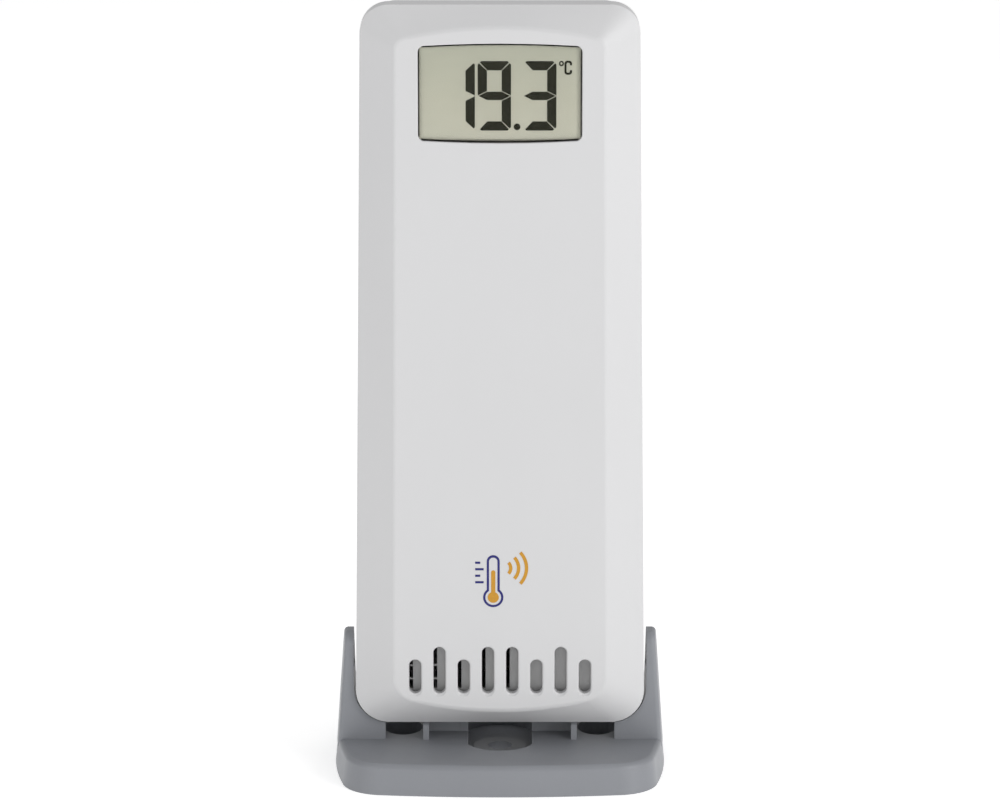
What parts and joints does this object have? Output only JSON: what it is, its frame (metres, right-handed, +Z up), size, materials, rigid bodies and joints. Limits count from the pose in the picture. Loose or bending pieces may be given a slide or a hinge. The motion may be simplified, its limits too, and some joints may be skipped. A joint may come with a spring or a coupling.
{
  "type": "remote weather sensor with display and stand",
  "caption": "Slim upright white temperature transmitter with a small display and vent slots, standing in a grey cradle foot.",
  "frame": {"origin": "centre of the stand's footprint, on the surface it stands on", "axes": "+Z up along the sensor, -Y out of the display towards the viewer, +X to the viewer's right"},
  "size_m": [0.0596, 0.0462, 0.1391],
  "materials": {
    "stand_grey": "fine moulded texture",
    "housing_white": "satin moulded",
    "rubber_grey": "matte",
    "screw_steel": "zinc plated",
    "lens_clear": "polished",
    "lcd_glass": "reflective display",
    "lcd_ink": "liquid crystal strokes",
    "reflector_foil": "foil",
    "frame_white": "matte",
    "board_green": "solder resist",
    "chip_black": "matte epoxy",
    "shield_tin": "tinned",
    "contact_nickel": "nickel plated",
    "capacitor_can": "satin",
    "baffle_grey": "matte",
    "button_white": "matte",
    "knob_black": "matte",
    "battery_jacket": "printed sleeve"
  },
  "bodies": {
    "stand": {"stand": "stand_grey"},
    "sensor": {"front_shell": "housing_white", "rear_shell": "housing_white", "shell_gasket": "rubber_grey", "housing_screws": "screw_steel", "display_lens": "lens_clear", "lcd_glass": "lcd_glass", "lcd_segments": "lcd_ink", "lcd_reflector": "reflector_foil", "lcd_frame": "frame_white", "zebra_strip": "rubber_grey", "circuit_board": "board_green", "microcontroller": "chip_black", "radio_module": "shield_tin", "antenna": "contact_nickel", "crystal": "shield_tin", "smd_components": "chip_black", "electrolytic_capacitor": "capacitor_can", "temperature_sensor": "chip_black", "vent_baffle": "baffle_grey", "board_screws": "screw_steel", "unit_switch": "chip_black", "channel_switch": "chip_black", "battery_left": "battery_jacket", "battery_right": "battery_jacket", "battery_bridge": "contact_nickel", "battery_contacts": "contact_nickel", "battery_springs": "contact_nickel"},
    "battery_door": {"battery_door": "housing_white", "door_seal": "rubber_grey", "door_screw": "screw_steel"},
    "unit_button": {"unit_button": "button_white"},
    "channel_knob": {"channel_knob": "knob_black"}
  },
  "joints": [
    {"name": "sensor_lift", "type": "slide", "parent": "stand", "child": "sensor", "axis": [0, 0, 1], "range_m": [0, 0.03]},
    {"name": "battery_door_off", "type": "slide", "parent": "sensor", "child": "battery_door", "axis": [0, 1, 0], "range_m": [0, 0.02]},
    {"name": "unit_button_press", "type": "slide", "parent": "sensor", "child": "unit_button", "axis": [0, -1, 0], "range_m": [0, 0.0004], "stiffness_N_per_m": 1500, "springref_m": -0.0001},
    {"name": "channel_slide", "type": "slide", "parent": "sensor", "child": "channel_knob", "axis": [1, 0, 0], "range_m": [-0.002, 0.002]}
  ]
}
